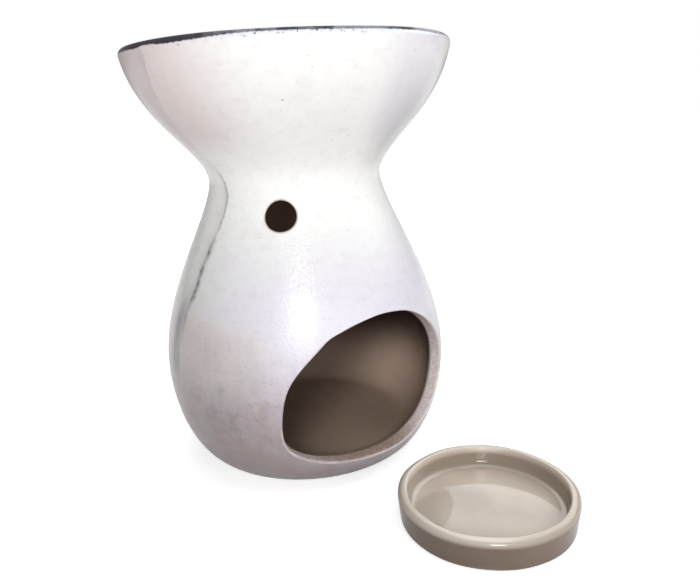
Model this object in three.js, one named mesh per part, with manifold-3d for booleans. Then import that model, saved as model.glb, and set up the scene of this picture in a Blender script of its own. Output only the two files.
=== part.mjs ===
// A ceramic oil burner: an hourglass casting with a candle window and an open bowl on top,
// the disc that closes the throat under the bowl, and a small loose dish for the tealight.
// Millimetres, +Z up. The origin is the centre of the foot, and the window faces -Y.
import * as THREE from 'three';
import { mergeVertices } from 'three/addons/utils/BufferGeometryUtils.js';
import Module from 'manifold-3d';

const wasm = await Module();
wasm.setup();

// Outside of the casting, from the foot to the rim
const HEIGHT = 140;
const FOOT_RADIUS = 34.6;
const FOOT_FLARE_DEG = 11.5;
const BELLY_RADIUS = 49.5;
const BELLY_HEIGHT = 34.4;
const NECK_RADIUS = 29.3;
const NECK_HEIGHT = 97.3;
const RIM_RADIUS = 53.1;
const RIM_SLOPE_DEG = 79.6;

// Walls
const WALL = 4.4;
const FLOOR_THICKNESS = 6.6;
const CHAMBER_FLOOR_RADIUS = 33;

// Candle window, cut by hand through the front of the chamber
const WINDOW_WIDTH = 66.3;
const WINDOW_HEIGHT = 48.2;
const WINDOW_SILL = 2.4;
const WINDOW_LEAN_DEG = 1.9;
const WINDOW_FOCUS = 50;

// Air vents under the neck, opposite each other
const VENT_RADIUS = 4.9;
const VENT_BELOW_NECK = 9.1;
const VENT_AZIMUTH_DEG = -40.6;
const VENT_TURN_DEG = 9;
const VENT_RISE_DEG = 10;

// Disc that closes the throat
const BOWL_FLOOR_THICKNESS = 4.4;
const BOWL_FLOOR_BELOW_NECK = 0.8;
const SEAT_GAP = 0.3;

// Tealight dish, standing in front of the window
const DISH_RADIUS = 26.85;
const DISH_TAPER = 0.65;
const DISH_HEIGHT = 9.7;
const DISH_WALL = 2.9;
const DISH_FLOOR_THICKNESS = 3;
const DISH_FOOT_EDGE = 1.2;
const DISH_FLOOR_FILLET = 2.4;
const DISH_INNER_EDGE = 0.8;
const DISH_AZIMUTH_DEG = 7.4;
const DISH_TO_RIM_GAP = 1.2;

// How finely round shapes are divided
const ROUND_SIDES = 64;
const VENT_SIDES = 20;

const radians = THREE.MathUtils.degToRad;
const point = (x, y) => new THREE.Vector2(x, y);

// A flat cubic curve of which only the ends and the two handles are given.
function curve(start, startHandle, endHandle, end) {
  return new THREE.CubicBezierCurve(start, startHandle, endHandle, end);
}

// Points of a profile curve, moved sideways to the left of its direction.
function offsetPoints(path, steps, distance) {
  const points = [];
  for (let i = 0; i <= steps; i += 1) {
    const along = path.getTangent(i / steps);
    const side = point(-along.y, along.x).multiplyScalar(distance);
    points.push(path.getPoint(i / steps).add(side));
  }
  return points;
}

// Points of a round arc, angles in radians from +X.
function arc(centre, radius, from, to, steps) {
  const points = [];
  for (let i = 0; i <= steps; i += 1) {
    const angle = from + ((to - from) * i) / steps;
    points.push(point(centre.x + radius * Math.cos(angle), centre.y + radius * Math.sin(angle)));
  }
  return points;
}

// One run of profile points without the repeats where two stretches meet.
function joined(...stretches) {
  const points = stretches.flat();
  return points.filter((p, i) => i === 0 || p.distanceTo(points[i - 1]) > 1e-6);
}

// The profile's radius at a height, on the straight lines between its points.
function radiusAt(profile, height) {
  const above = profile.findIndex((p) => p.y >= height);
  const index = Math.min(Math.max(above, 1), profile.length - 1);
  const low = profile[index - 1];
  const high = profile[index];
  return low.x + ((high.x - low.x) * (height - low.y)) / (high.y - low.y);
}

// A closed geometry as a solid, with shared vertices merged and empty triangles dropped.
function toSolid(geometry) {
  const bare = geometry.clone();
  bare.deleteAttribute('normal');
  bare.deleteAttribute('uv');
  const merged = mergeVertices(bare);
  const index = merged.index.array;
  const triangles = [];
  for (let i = 0; i < index.length; i += 3) {
    const [a, b, c] = [index[i], index[i + 1], index[i + 2]];
    if (a !== b && b !== c && c !== a) triangles.push(a, b, c);
  }
  return new wasm.Manifold(new wasm.Mesh({
    numProp: 3,
    vertProperties: new Float32Array(merged.attributes.position.array),
    triVerts: new Uint32Array(triangles),
  }));
}

function toGeometry(solid) {
  const mesh = solid.getMesh();
  const geometry = new THREE.BufferGeometry();
  geometry.setAttribute('position', new THREE.BufferAttribute(mesh.vertProperties, 3));
  geometry.setIndex(new THREE.BufferAttribute(mesh.triVerts, 1));
  geometry.computeVertexNormals();
  return geometry;
}

// A profile of radius and height, turned about +Z.
function turned(profile) {
  return toSolid(new THREE.LatheGeometry(profile, ROUND_SIDES).rotateX(Math.PI / 2));
}

// Outer profile: foot to belly, belly to neck, neck to rim
const rimSlope = radians(RIM_SLOPE_DEG);
const footFlare = radians(FOOT_FLARE_DEG);
const lipRadius = WALL / 2;
const rimEnd = point(RIM_RADIUS, HEIGHT - lipRadius - lipRadius * Math.cos(rimSlope));
const waist = NECK_HEIGHT - BELLY_HEIGHT;
const flare = rimEnd.y - NECK_HEIGHT;

const footHandle = 0.231 * BELLY_HEIGHT;
const lowerWall = curve(
  point(FOOT_RADIUS, 0),
  point(FOOT_RADIUS + footHandle * Math.cos(footFlare), footHandle * Math.sin(footFlare)),
  point(BELLY_RADIUS, 0.49 * BELLY_HEIGHT),
  point(BELLY_RADIUS, BELLY_HEIGHT),
);
const upperWall = curve(
  point(BELLY_RADIUS, BELLY_HEIGHT),
  point(BELLY_RADIUS, BELLY_HEIGHT + 0.411 * waist),
  point(NECK_RADIUS, NECK_HEIGHT - 0.172 * waist),
  point(NECK_RADIUS, NECK_HEIGHT),
);
const rimHandle = 0.531 * flare;
const bowlWall = curve(
  point(NECK_RADIUS, NECK_HEIGHT),
  point(NECK_RADIUS, NECK_HEIGHT + 0.234 * flare),
  point(rimEnd.x - rimHandle * Math.cos(rimSlope), rimEnd.y - rimHandle * Math.sin(rimSlope)),
  rimEnd,
);
const outerProfile = joined(
  lowerWall.getPoints(6),
  upperWall.getPoints(10),
  bowlWall.getPoints(9),
);

// Inner profile, a wall's thickness inside the outer one above the belly
const chamberWall = curve(
  point(CHAMBER_FLOOR_RADIUS, FLOOR_THICKNESS),
  point(
    THREE.MathUtils.lerp(CHAMBER_FLOOR_RADIUS, BELLY_RADIUS - WALL, 0.55),
    FLOOR_THICKNESS,
  ),
  point(BELLY_RADIUS - WALL, THREE.MathUtils.lerp(BELLY_HEIGHT, FLOOR_THICKNESS, 0.55)),
  point(BELLY_RADIUS - WALL, BELLY_HEIGHT),
);
const innerProfile = joined(
  chamberWall.getPoints(6),
  offsetPoints(upperWall, 10, WALL),
  offsetPoints(bowlWall, 9, WALL),
);

function burnerBody() {
  const lipCentre = point(
    rimEnd.x - lipRadius * Math.sin(rimSlope),
    rimEnd.y + lipRadius * Math.cos(rimSlope),
  );
  const outside = rimSlope - Math.PI / 2;
  const lip = arc(lipCentre, lipRadius, outside, outside + Math.PI, 5);
  const shell = turned(joined(
    [point(0, 0)],
    outerProfile,
    lip,
    innerProfile.slice().reverse(),
    [point(0, FLOOR_THICKNESS)],
  ));
  return [windowCutter(), ...ventCutters()].reduce((body, cutter) => body.subtract(cutter), shell);
}

// The window's outline, in degrees round the chamber and millimetres up. It is a broad arch
// with a flatter sill, widest below the middle and leaning a little to the right.
function windowOutline() {
  const side = THREE.MathUtils.radToDeg(Math.asin(WINDOW_WIDTH / 2 / BELLY_RADIUS));
  const bottom = FLOOR_THICKNESS + WINDOW_SILL;
  const top = bottom + WINDOW_HEIGHT;
  const leftHeight = bottom + 0.265 * WINDOW_HEIGHT;
  const rightHeight = bottom + 0.394 * WINDOW_HEIGHT;
  const topX = WINDOW_LEAN_DEG;
  const bottomX = 2 * WINDOW_LEAN_DEG;
  const outline = new THREE.Shape();
  outline.moveTo(-side, leftHeight);
  outline.bezierCurveTo(
    -side, leftHeight + 0.6 * (top - leftHeight),
    topX - 0.59 * (topX + side), top,
    topX, top,
  );
  outline.bezierCurveTo(
    topX + 0.56 * (side - topX), top,
    side, rightHeight + 0.53 * (top - rightHeight),
    side, rightHeight,
  );
  outline.bezierCurveTo(
    side, rightHeight - 0.45 * (rightHeight - bottom),
    bottomX + 0.5 * (side - bottomX), bottom,
    bottomX, bottom,
  );
  outline.bezierCurveTo(
    bottomX - 0.63 * (bottomX + side), bottom,
    -side, leftHeight - 0.75 * (leftHeight - bottom),
    -side, leftHeight,
  );
  return outline;
}

// The outline wrapped on the wall. Its sides run towards an upright line behind the middle
// of the chamber, as a knife held at the front does.
function windowCutter() {
  const reachOut = 30;
  const reachIn = 14;
  const geometry = new THREE.ExtrudeGeometry(windowOutline(), {
    depth: 1,
    bevelEnabled: false,
    curveSegments: 9,
  });
  const position = geometry.attributes.position;
  for (let i = 0; i < position.count; i += 1) {
    const azimuth = radians(position.getX(i));
    const height = position.getY(i);
    const radius = radiusAt(outerProfile, height);
    const onWall = point(radius * Math.sin(azimuth), -radius * Math.cos(azimuth));
    const outwards = onWall.clone().sub(point(0, WINDOW_FOCUS)).normalize();
    onWall.addScaledVector(outwards, position.getZ(i) > 0.5 ? reachOut : -reachIn);
    position.setXYZ(i, onWall.x, onWall.y, height);
  }
  return toSolid(geometry);
}

// A level direction away from the axis.
function outwardsAt(azimuth) {
  return new THREE.Vector3(Math.sin(azimuth), -Math.cos(azimuth), 0);
}

// Round holes that rise a little outwards, bored slightly aside from the axis.
function ventCutters() {
  const height = NECK_HEIGHT - VENT_BELOW_NECK;
  const radius = radiusAt(outerProfile, height);
  return [0, 180].map((opposite) => {
    const azimuth = radians(VENT_AZIMUTH_DEG + opposite);
    const middle = outwardsAt(azimuth).multiplyScalar(radius).setZ(height);
    const outwards = outwardsAt(azimuth + radians(VENT_TURN_DEG));
    outwards.setZ(Math.tan(radians(VENT_RISE_DEG))).normalize();
    const geometry = new THREE.CylinderGeometry(VENT_RADIUS, VENT_RADIUS, 4 * WALL, VENT_SIDES);
    geometry.applyQuaternion(
      new THREE.Quaternion().setFromUnitVectors(new THREE.Vector3(0, 1, 0), outwards),
    );
    geometry.translate(middle.x, middle.y, middle.z);
    return toSolid(geometry);
  });
}

// The disc's edge follows the throat, a small gap away from it.
function bowlFloor() {
  const bottom = NECK_HEIGHT - BOWL_FLOOR_BELOW_NECK;
  const edge = [0, 1, 2, 3].map((step) => {
    const height = bottom + (BOWL_FLOOR_THICKNESS * step) / 3;
    return point(radiusAt(innerProfile, height) - SEAT_GAP, height);
  });
  return turned([point(0, bottom), ...edge, point(0, bottom + BOWL_FLOOR_THICKNESS)]);
}

// The lip rounds over from the outside and has a tighter edge towards the inside.
function tealightDish() {
  const roundOver = DISH_WALL - DISH_INNER_EDGE;
  const footRadius = DISH_RADIUS - DISH_TAPER;
  const inside = DISH_RADIUS - DISH_WALL;
  const footEdge = arc(
    point(footRadius - DISH_FOOT_EDGE, DISH_FOOT_EDGE),
    DISH_FOOT_EDGE, -Math.PI / 2, 0, 3,
  );
  const outerLip = arc(
    point(DISH_RADIUS - roundOver, DISH_HEIGHT - roundOver),
    roundOver, 0, Math.PI / 2, 4,
  );
  const innerLip = arc(
    point(inside + DISH_INNER_EDGE, DISH_HEIGHT - DISH_INNER_EDGE),
    DISH_INNER_EDGE, Math.PI / 2, Math.PI, 2,
  );
  const fillet = arc(
    point(inside - DISH_FLOOR_FILLET, DISH_FLOOR_THICKNESS + DISH_FLOOR_FILLET),
    DISH_FLOOR_FILLET, 0, -Math.PI / 2, 4,
  );
  return turned(joined(
    [point(0, 0)],
    footEdge,
    outerLip,
    innerLip,
    fillet,
    [point(0, DISH_FLOOR_THICKNESS)],
  ));
}

function named(name, solid, material) {
  const mesh = new THREE.Mesh(toGeometry(solid), material);
  mesh.name = name;
  return mesh;
}

const whiteGlaze = new THREE.MeshStandardMaterial({ color: 0xf0eff0, roughness: 0.18, metalness: 0 });
const taupeGlaze = new THREE.MeshStandardMaterial({ color: 0xb3a698, roughness: 0.15, metalness: 0 });

const burner = new THREE.Group();
burner.add(named('burner_body', burnerBody(), whiteGlaze));
burner.add(named('bowl_floor', bowlFloor(), taupeGlaze));

// The dish stands just outside the rim's overhang, so that it lifts straight up past it.
const dish = named('tealight_dish', tealightDish(), taupeGlaze);
const rimReach = RIM_RADIUS + lipRadius * (1 - Math.sin(rimSlope));
const dishDistance = rimReach + DISH_TO_RIM_GAP + DISH_RADIUS;
const dishAzimuth = radians(DISH_AZIMUTH_DEG);
dish.position.set(dishDistance * Math.sin(dishAzimuth), -dishDistance * Math.cos(dishAzimuth), 0);
burner.add(dish);

export default burner;
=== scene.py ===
"""A white glazed ceramic oil burner with its loose taupe tealight dish, on a plain white table."""

import math

import bpy
import numpy as np
from mathutils import Matrix, Vector


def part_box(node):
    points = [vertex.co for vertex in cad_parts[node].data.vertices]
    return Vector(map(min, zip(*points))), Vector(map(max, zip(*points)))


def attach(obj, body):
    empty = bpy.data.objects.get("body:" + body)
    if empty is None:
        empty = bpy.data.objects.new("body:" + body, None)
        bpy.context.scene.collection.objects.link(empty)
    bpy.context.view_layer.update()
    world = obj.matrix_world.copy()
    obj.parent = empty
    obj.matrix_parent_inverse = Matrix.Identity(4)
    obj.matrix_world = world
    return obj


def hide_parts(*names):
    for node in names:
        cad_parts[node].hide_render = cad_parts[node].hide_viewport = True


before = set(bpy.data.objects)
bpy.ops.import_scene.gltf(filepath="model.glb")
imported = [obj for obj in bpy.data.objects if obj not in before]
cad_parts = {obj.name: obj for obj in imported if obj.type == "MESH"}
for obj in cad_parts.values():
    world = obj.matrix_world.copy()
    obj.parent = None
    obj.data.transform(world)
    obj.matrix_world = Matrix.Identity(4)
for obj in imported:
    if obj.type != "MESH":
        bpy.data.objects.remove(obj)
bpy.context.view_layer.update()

# Lengths are millimetres until a mesh is made, and MM turns them into metres.
MM = 0.001

# The casting, with the sizes that its solid has
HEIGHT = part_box("burner_body")[1].z / MM
FOOT_RADIUS = 34.6
FOOT_FLARE = math.radians(11.5)
BELLY_RADIUS = 49.5
BELLY_HEIGHT = 34.4
NECK_RADIUS = 29.3
NECK_HEIGHT = 97.3
RIM_RADIUS = 53.1
RIM_SLOPE = math.radians(79.6)
WALL = 4.4
FLOOR_THICKNESS = 6.6
CHAMBER_FLOOR_RADIUS = 33

WINDOW_WIDTH = 66.3
WINDOW_HEIGHT = 48.2
WINDOW_SILL = 2.4
WINDOW_LEAN = 1.9
WINDOW_FOCUS = 50
WINDOW_EDGE = 1.1

# Where the knife strayed along the window's edge: direction from the window's middle in
# degrees, how many degrees it lasted, and how far out it went
KNIFE_STRAYS = [(137, 8, 0.5), (174, 12, 0.65), (-158, 6, -0.25), (61, 9, 0.2), (-60, 20, 0.2)]
KNIFE_OFFSET = -0.3
KNIFE_WAVES = [(0.06, 9, 0.4)]

VENT_RADIUS = 4.9
VENT_BELOW_NECK = 9.1
VENT_AZIMUTH = -40.6
VENT_TURN = 9
VENT_RISE = 10
VENT_EDGE = 0.7

# The disc that closes the throat, and the glaze that has pooled round it
DISC_LOW, DISC_HIGH = [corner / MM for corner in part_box("bowl_floor")]
DISC_DISH = 0.5
DISC_FILLET = 2.2
DISC_GAP = 0.02

# The tealight dish
DISH_LOW, DISH_HIGH = [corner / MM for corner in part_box("tealight_dish")]
DISH_TAPER = 0.65
DISH_WALL = 2.9
DISH_FLOOR_THICKNESS = 3
DISH_FOOT_EDGE = 1.2
DISH_FLOOR_FILLET = 2.4
DISH_INNER_EDGE = 0.8
DISH_FLOOR_DOME = 0.9

# How unevenly the casting and the dish were made: waves round the wall and up and down the
# rim, each with its height, its count and its phase, how far the rim lies low, and how much
# smaller the even dish is than its solid, which leaves room for the waves
CASTING_WAVES = [(0.12, 2, 0.7), (0.08, 3, 2.1)]
CASTING_RIM_WAVES = [(0.13, 2, 2), (0.07, 5, 0)]
CASTING_RIM_DROP = 0.2
DISH_WAVES = [(0.16, 3, 0.6), (0.1, 5, 2), (0.06, 9, 0)]
DISH_RIM_WAVES = [(0.1, 2, 1), (0.07, 7, 0.5)]
DISH_RIM_DROP = 0.05
DISH_SIDE_ROOM = 0.25
DISH_TOP_ROOM = 0.15

# The seam of the two-part mould by height and azimuth, measured round from the window
SEAM_COURSE = [
    (0, -91), (54, -89.5), (68, -85), (92, -78), (103, -84.2), (121, -83.5), (139, -79.5),
]
SEAM_AZIMUTH = -83.5
SEAM_RIDGE = 0.1
SEAM_WIDTH = 0.7
SEAM_HOLLOW = 0.4
SEAM_HOLLOW_WIDTH = 2.6
NO_SEAM = 99

# The heights over which the seam's relief begins and its ridge wears down, and how much
# of the painted shade of the scraped wall shows beside the opposite seam
SEAM_BEGINS = (36, 56)
SEAM_WORN = (98, 112)
SEAM_WORN_SHARE = 0.7
OPPOSITE_SCRAPED = 0.3

# Where pinholes crowd together in the glaze, and how far each crowd reaches
PINHOLES = [
    ((-6, -45, 121), 4),
    ((-8, -43, 118), 3),
    ((-5, -35, 75), 8),
    ((-9, -33, 79), 6),
    ((-37, -32, 41), 13),
    ((-44, -12, 50), 13),
    ((-20, -42, 55), 9),
]

# How finely the pieces are divided, and how far the blocks round the holes reach
COLUMNS = 192
COLUMNS_BY_SEAM = [0.12, 0.3, 0.5, 0.75, 1.05, 1.4, 1.8]
CLEAR_OF_SEAM = 2.2
UNDERSIDE_STEP = 6
FOOT_STEP = 0.8
ROW_STEP = 1.5
LIP_STEP = 0.45
WINDOW_REACH = 60
WINDOW_BAND = (2.5, 68)
WINDOW_ROWS = 46
FLOOR_REACH = 30
VENT_REACH = 17
VENT_BAND = 8.6
VENT_ROWS = 12
PATCH_RINGS = 12
EDGE_RINGS = 5
CUT_RINGS = 4
HALVINGS = 40
DISC_COLUMNS = 128
DISC_STEP = 0.9
DISH_COLUMNS = 160
DISH_STEP = 0.45


def bezier(points, steps=200):
    """Points along a cubic curve, its two ends included."""
    start, start_handle, end_handle, end = [np.array(p, float) for p in points]
    t = np.linspace(0, 1, steps + 1)[:, None]
    return (
        (1 - t) ** 3 * start
        + 3 * (1 - t) ** 2 * t * start_handle
        + 3 * (1 - t) * t**2 * end_handle
        + t**3 * end
    )


def arc(centre, radius, start, end, steps=60):
    """Points of a round arc, with its angles in radians from +X."""
    angle = np.linspace(start, end, steps + 1)
    return np.c_[centre[0] + radius * np.cos(angle), centre[1] + radius * np.sin(angle)]


def moved_inwards(points, distance):
    """A line moved to the left of its direction."""
    along = np.gradient(points, axis=0)
    along /= np.linalg.norm(along, axis=1)[:, None]
    return points + distance * np.c_[-along[:, 1], along[:, 0]]


def beyond(point, angle, distance):
    """A point at a distance in a direction, with its angle in radians from +X."""
    return point[0] + distance * math.cos(angle), point[1] + distance * math.sin(angle)


def heading(azimuth, elevation):
    """A step of length 1, with its azimuth in degrees from -Y towards +X."""
    azimuth = math.radians(azimuth)
    elevation = math.radians(elevation)
    level = math.cos(elevation)
    return level * math.sin(azimuth), -level * math.cos(azimuth), math.sin(elevation)


def distances_along(points):
    steps = np.linalg.norm(np.diff(points, axis=0), axis=1)
    return np.concatenate([[0], np.cumsum(steps)])


def smooth(value, low, high):
    """0 below low, 1 above high, and a smooth step between them."""
    t = np.clip((value - low) / (high - low), 0, 1)
    return t * t * (3 - 2 * t)


def waves(angle, terms):
    """A sum of waves round a piece, each with its height, its count and its phase."""
    return sum(height * np.sin(count * angle + phase) for height, count, phase in terms)


class Profile:
    """A line of radius and height, read by the distance along it."""

    def __init__(self, *stretches):
        self.points = np.concatenate([stretches[0][:1]] + [stretch[1:] for stretch in stretches])
        self.along = distances_along(self.points)
        ends = np.cumsum([len(stretch) - 1 for stretch in stretches])
        self.marks = [0.0, *self.along[ends]]

    def radius(self, s):
        return np.interp(s, self.along, self.points[:, 0])

    def height(self, s):
        return np.interp(s, self.along, self.points[:, 1])

    def at_height(self, height, first, last):
        """The distance along, between two marks, at which the line passes a height."""
        inside = (self.along >= self.marks[first]) & (self.along <= self.marks[last])
        heights = self.points[inside, 1]
        order = np.argsort(heights)
        return np.interp(height, heights[order], self.along[inside][order])


def casting_profile():
    """Underside, outside, lip and inside of the casting, from axis to axis."""
    lip = WALL / 2
    rim_end = (RIM_RADIUS, HEIGHT - lip - lip * math.cos(RIM_SLOPE))
    waist = NECK_HEIGHT - BELLY_HEIGHT
    flare = rim_end[1] - NECK_HEIGHT
    lower = bezier([
        (FOOT_RADIUS, 0),
        beyond((FOOT_RADIUS, 0), FOOT_FLARE, 0.231 * BELLY_HEIGHT),
        (BELLY_RADIUS, 0.49 * BELLY_HEIGHT),
        (BELLY_RADIUS, BELLY_HEIGHT),
    ])
    upper = bezier([
        (BELLY_RADIUS, BELLY_HEIGHT),
        (BELLY_RADIUS, BELLY_HEIGHT + 0.411 * waist),
        (NECK_RADIUS, NECK_HEIGHT - 0.172 * waist),
        (NECK_RADIUS, NECK_HEIGHT),
    ])
    bowl = bezier([
        (NECK_RADIUS, NECK_HEIGHT),
        (NECK_RADIUS, NECK_HEIGHT + 0.234 * flare),
        beyond(rim_end, RIM_SLOPE, -0.531 * flare),
        rim_end,
    ])
    lip_centre = beyond(rim_end, RIM_SLOPE + math.pi / 2, lip)
    turn = RIM_SLOPE - math.pi / 2
    chamber_radius = BELLY_RADIUS - WALL
    chamber = bezier([
        (CHAMBER_FLOOR_RADIUS, FLOOR_THICKNESS),
        (0.45 * CHAMBER_FLOOR_RADIUS + 0.55 * chamber_radius, FLOOR_THICKNESS),
        (chamber_radius, 0.45 * BELLY_HEIGHT + 0.55 * FLOOR_THICKNESS),
        (chamber_radius, BELLY_HEIGHT),
    ])
    return Profile(
        np.array([[0.0, 0], [FOOT_RADIUS, 0]]),
        lower,
        upper,
        bowl,
        arc(lip_centre, lip, turn, turn + math.pi),
        moved_inwards(bowl, WALL)[::-1],
        moved_inwards(upper, WALL)[::-1],
        chamber[::-1],
        np.array([[CHAMBER_FLOOR_RADIUS, FLOOR_THICKNESS], [0, FLOOR_THICKNESS]]),
    )


# Marks along the casting's profile, by what begins there
FOOT, BELLY, NECK, LIP, BOWL_INSIDE, THROAT, CHAMBER, FLOOR, AXIS = range(1, 10)


class Casting:
    """The casting's surface by angle and distance along the profile, with its seams."""

    def __init__(self):
        self.line = casting_profile()
        self.lip_top = (self.line.marks[LIP] + self.line.marks[BOWL_INSIDE]) / 2

    def outside(self, s):
        """1 on the outer wall, fading out at the foot and under the lip."""
        marks = self.line.marks
        fading = smooth(s, marks[LIP] - 0.5, marks[LIP] + 1.5)
        return smooth(s, marks[FOOT], marks[FOOT] + 6) * (1 - fading)

    def seam_distance(self, theta, s):
        """Millimetres round from the nearer seam, negative on its clockwise side."""
        seams = [math.radians(SEAM_AZIMUTH), math.radians(SEAM_AZIMUTH + 180)]
        near = np.where(np.abs(theta - seams[0]) < np.abs(theta - seams[1]), *seams)
        return (theta - near) * self.line.radius(s)

    def seam_shift(self, theta, s):
        """How far the seam's course turns the surface's columns, in radians."""
        heights, azimuths = np.array(SEAM_COURSE, float).T
        height = self.line.height(s)
        index = np.clip(np.searchsorted(heights, height) - 1, 0, len(heights) - 2)
        t = smooth(height, heights[index], heights[index + 1])
        azimuth = azimuths[index] + t * (azimuths[index + 1] - azimuths[index])
        away = np.abs(np.degrees(theta) - SEAM_AZIMUTH)
        return np.radians(azimuth - SEAM_AZIMUTH) * (1 - smooth(away, 4, 18))

    def place(self, theta, s):
        """Points in space. Theta is measured from -Y towards +X."""
        theta, s = np.broadcast_arrays(theta, s)
        outside = self.outside(s)
        away = self.seam_distance(theta, s)
        height = self.line.height(s)
        worn = 1 - SEAM_WORN_SHARE * smooth(height, *SEAM_WORN)
        ridge = SEAM_RIDGE * worn * np.exp(-((away / SEAM_WIDTH) ** 2))
        hollow = SEAM_HOLLOW * np.exp(-((away / SEAM_HOLLOW_WIDTH + 1.2) ** 2))
        relief = outside * smooth(height, *SEAM_BEGINS) * (ridge - hollow)
        swell = waves(theta, CASTING_WAVES) * smooth(height, 3, 30)
        radius = self.line.radius(s)
        radius = radius + (swell + relief) * smooth(radius, 2, 20)
        turned = theta + outside * self.seam_shift(theta, s)
        lift = smooth(height, 110, HEIGHT)
        height = height + lift * (waves(theta, CASTING_RIM_WAVES) - CASTING_RIM_DROP)
        return np.stack([radius * np.sin(turned), -radius * np.cos(turned), height], axis=-1)

    def marks_of(self, theta, s):
        """Distances from the lip's top and the seam, and where the wall was scraped."""
        theta, s = np.broadcast_arrays(theta, s)
        away = self.seam_distance(theta, s)
        seam = np.where(self.outside(s) > 0, np.abs(away), NO_SEAM)
        opposite = np.abs(np.degrees(theta) - SEAM_AZIMUTH) >= 90
        scraped = smooth(-away, -0.3, 0.8) * np.where(opposite, OPPOSITE_SCRAPED, 1)
        return {"rim": s - self.lip_top, "seam": seam, "scraped": scraped}


class Shell:
    """Four-sided faces, gathered patch by patch and joined where the patches meet."""

    def __init__(self):
        self.points = []
        self.faces = []
        self.values = {}
        self.count = 0

    def add(self, points, values, keep=None):
        """Closed rows of points, which run anticlockwise as the outside is seen."""
        rows, columns = points.shape[:2]
        index = self.count + np.arange(rows * columns).reshape(rows, columns)
        after = np.roll(index, -1, axis=1)
        faces = np.stack([index[:-1], after[:-1], after[1:], index[1:]], axis=-1)
        self.faces.append(faces[keep] if keep is not None else faces.reshape(-1, 4))
        self.points.append(points.reshape(-1, 3))
        for name, value in values.items():
            flat = np.broadcast_to(value, (rows, columns)).reshape(-1)
            self.values.setdefault(name, []).append(flat)
        self.count += rows * columns

    def mesh(self, name):
        """One mesh, with points that lie together joined and flat corners dropped."""
        points = np.concatenate(self.points) * MM
        faces = np.concatenate(self.faces)
        found = np.unique(np.round(points, 7), axis=0, return_index=True, return_inverse=True)
        first = found[1]
        faces = found[2].reshape(-1)[faces]
        polygons = []
        for face in faces.tolist():
            corners = [c for i, c in enumerate(face) if c != face[i - 1]]
            if len(set(corners)) > 2:
                polygons.append(corners)
        mesh = bpy.data.meshes.new(name)
        mesh.from_pydata(points[first].tolist(), [], polygons)
        for value_name, parts in self.values.items():
            attribute = mesh.attributes.new(value_name, "FLOAT", "POINT")
            attribute.data.foreach_set("value", np.concatenate(parts)[first].astype(np.float32))
        mesh.shade_smooth()
        return mesh


def nearest(values, target):
    return int(np.abs(np.asarray(values) - target).argmin())


def perimeter(low_row, high_row, left, right):
    """Row and column of each point round a block of cells, from its lower left corner."""
    step = 1 if high_row > low_row else -1
    up = [(row, right) for row in range(low_row, high_row, step)]
    down = [(row, left) for row in range(high_row, low_row, -step)]
    rightwards = [(low_row, column) for column in range(left, right)]
    leftwards = [(high_row, column) for column in range(right, left, -1)]
    return np.array(rightwards + up + leftwards + down).T


def through(casting, start, direction):
    """How far a line runs from the outer wall to the chamber's wall, for many lines at once."""
    line = casting.line
    low = np.zeros(len(start))
    high = np.full(len(start), 4 * WALL)
    for _ in range(HALVINGS):
        middle = (low + high) / 2
        point = start + middle[:, None] * direction
        s = line.at_height(point[:, 2], THROAT, FLOOR)
        inside = np.hypot(point[:, 0], point[:, 1]) < line.radius(s)
        high = np.where(inside, middle, high)
        low = np.where(inside, low, middle)
    return (low + high) / 2


def beside(casting, theta, s, distance, side):
    """A closed outline on the wall, moved away from its middle by a distance."""
    radius = casting.line.radius(s)
    across = (np.roll(theta, -1) - np.roll(theta, 1)) * radius
    up = np.roll(s, -1) - np.roll(s, 1)
    length = np.hypot(across, up)
    return theta + side * distance * up / length / radius, s - side * distance * across / length


def eased(count):
    """Steps from 0 to 1 that draw closer together towards 1."""
    t = np.linspace(0, 1, count + 1)[:, None]
    return 1 - (1 - t) ** 1.35


def rounded(start, corner, end, t):
    """Points of the curve that rounds off a corner, with t from 0 to 1."""
    return (1 - t) ** 2 * start + 2 * t * (1 - t) * corner + t**2 * end


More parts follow.
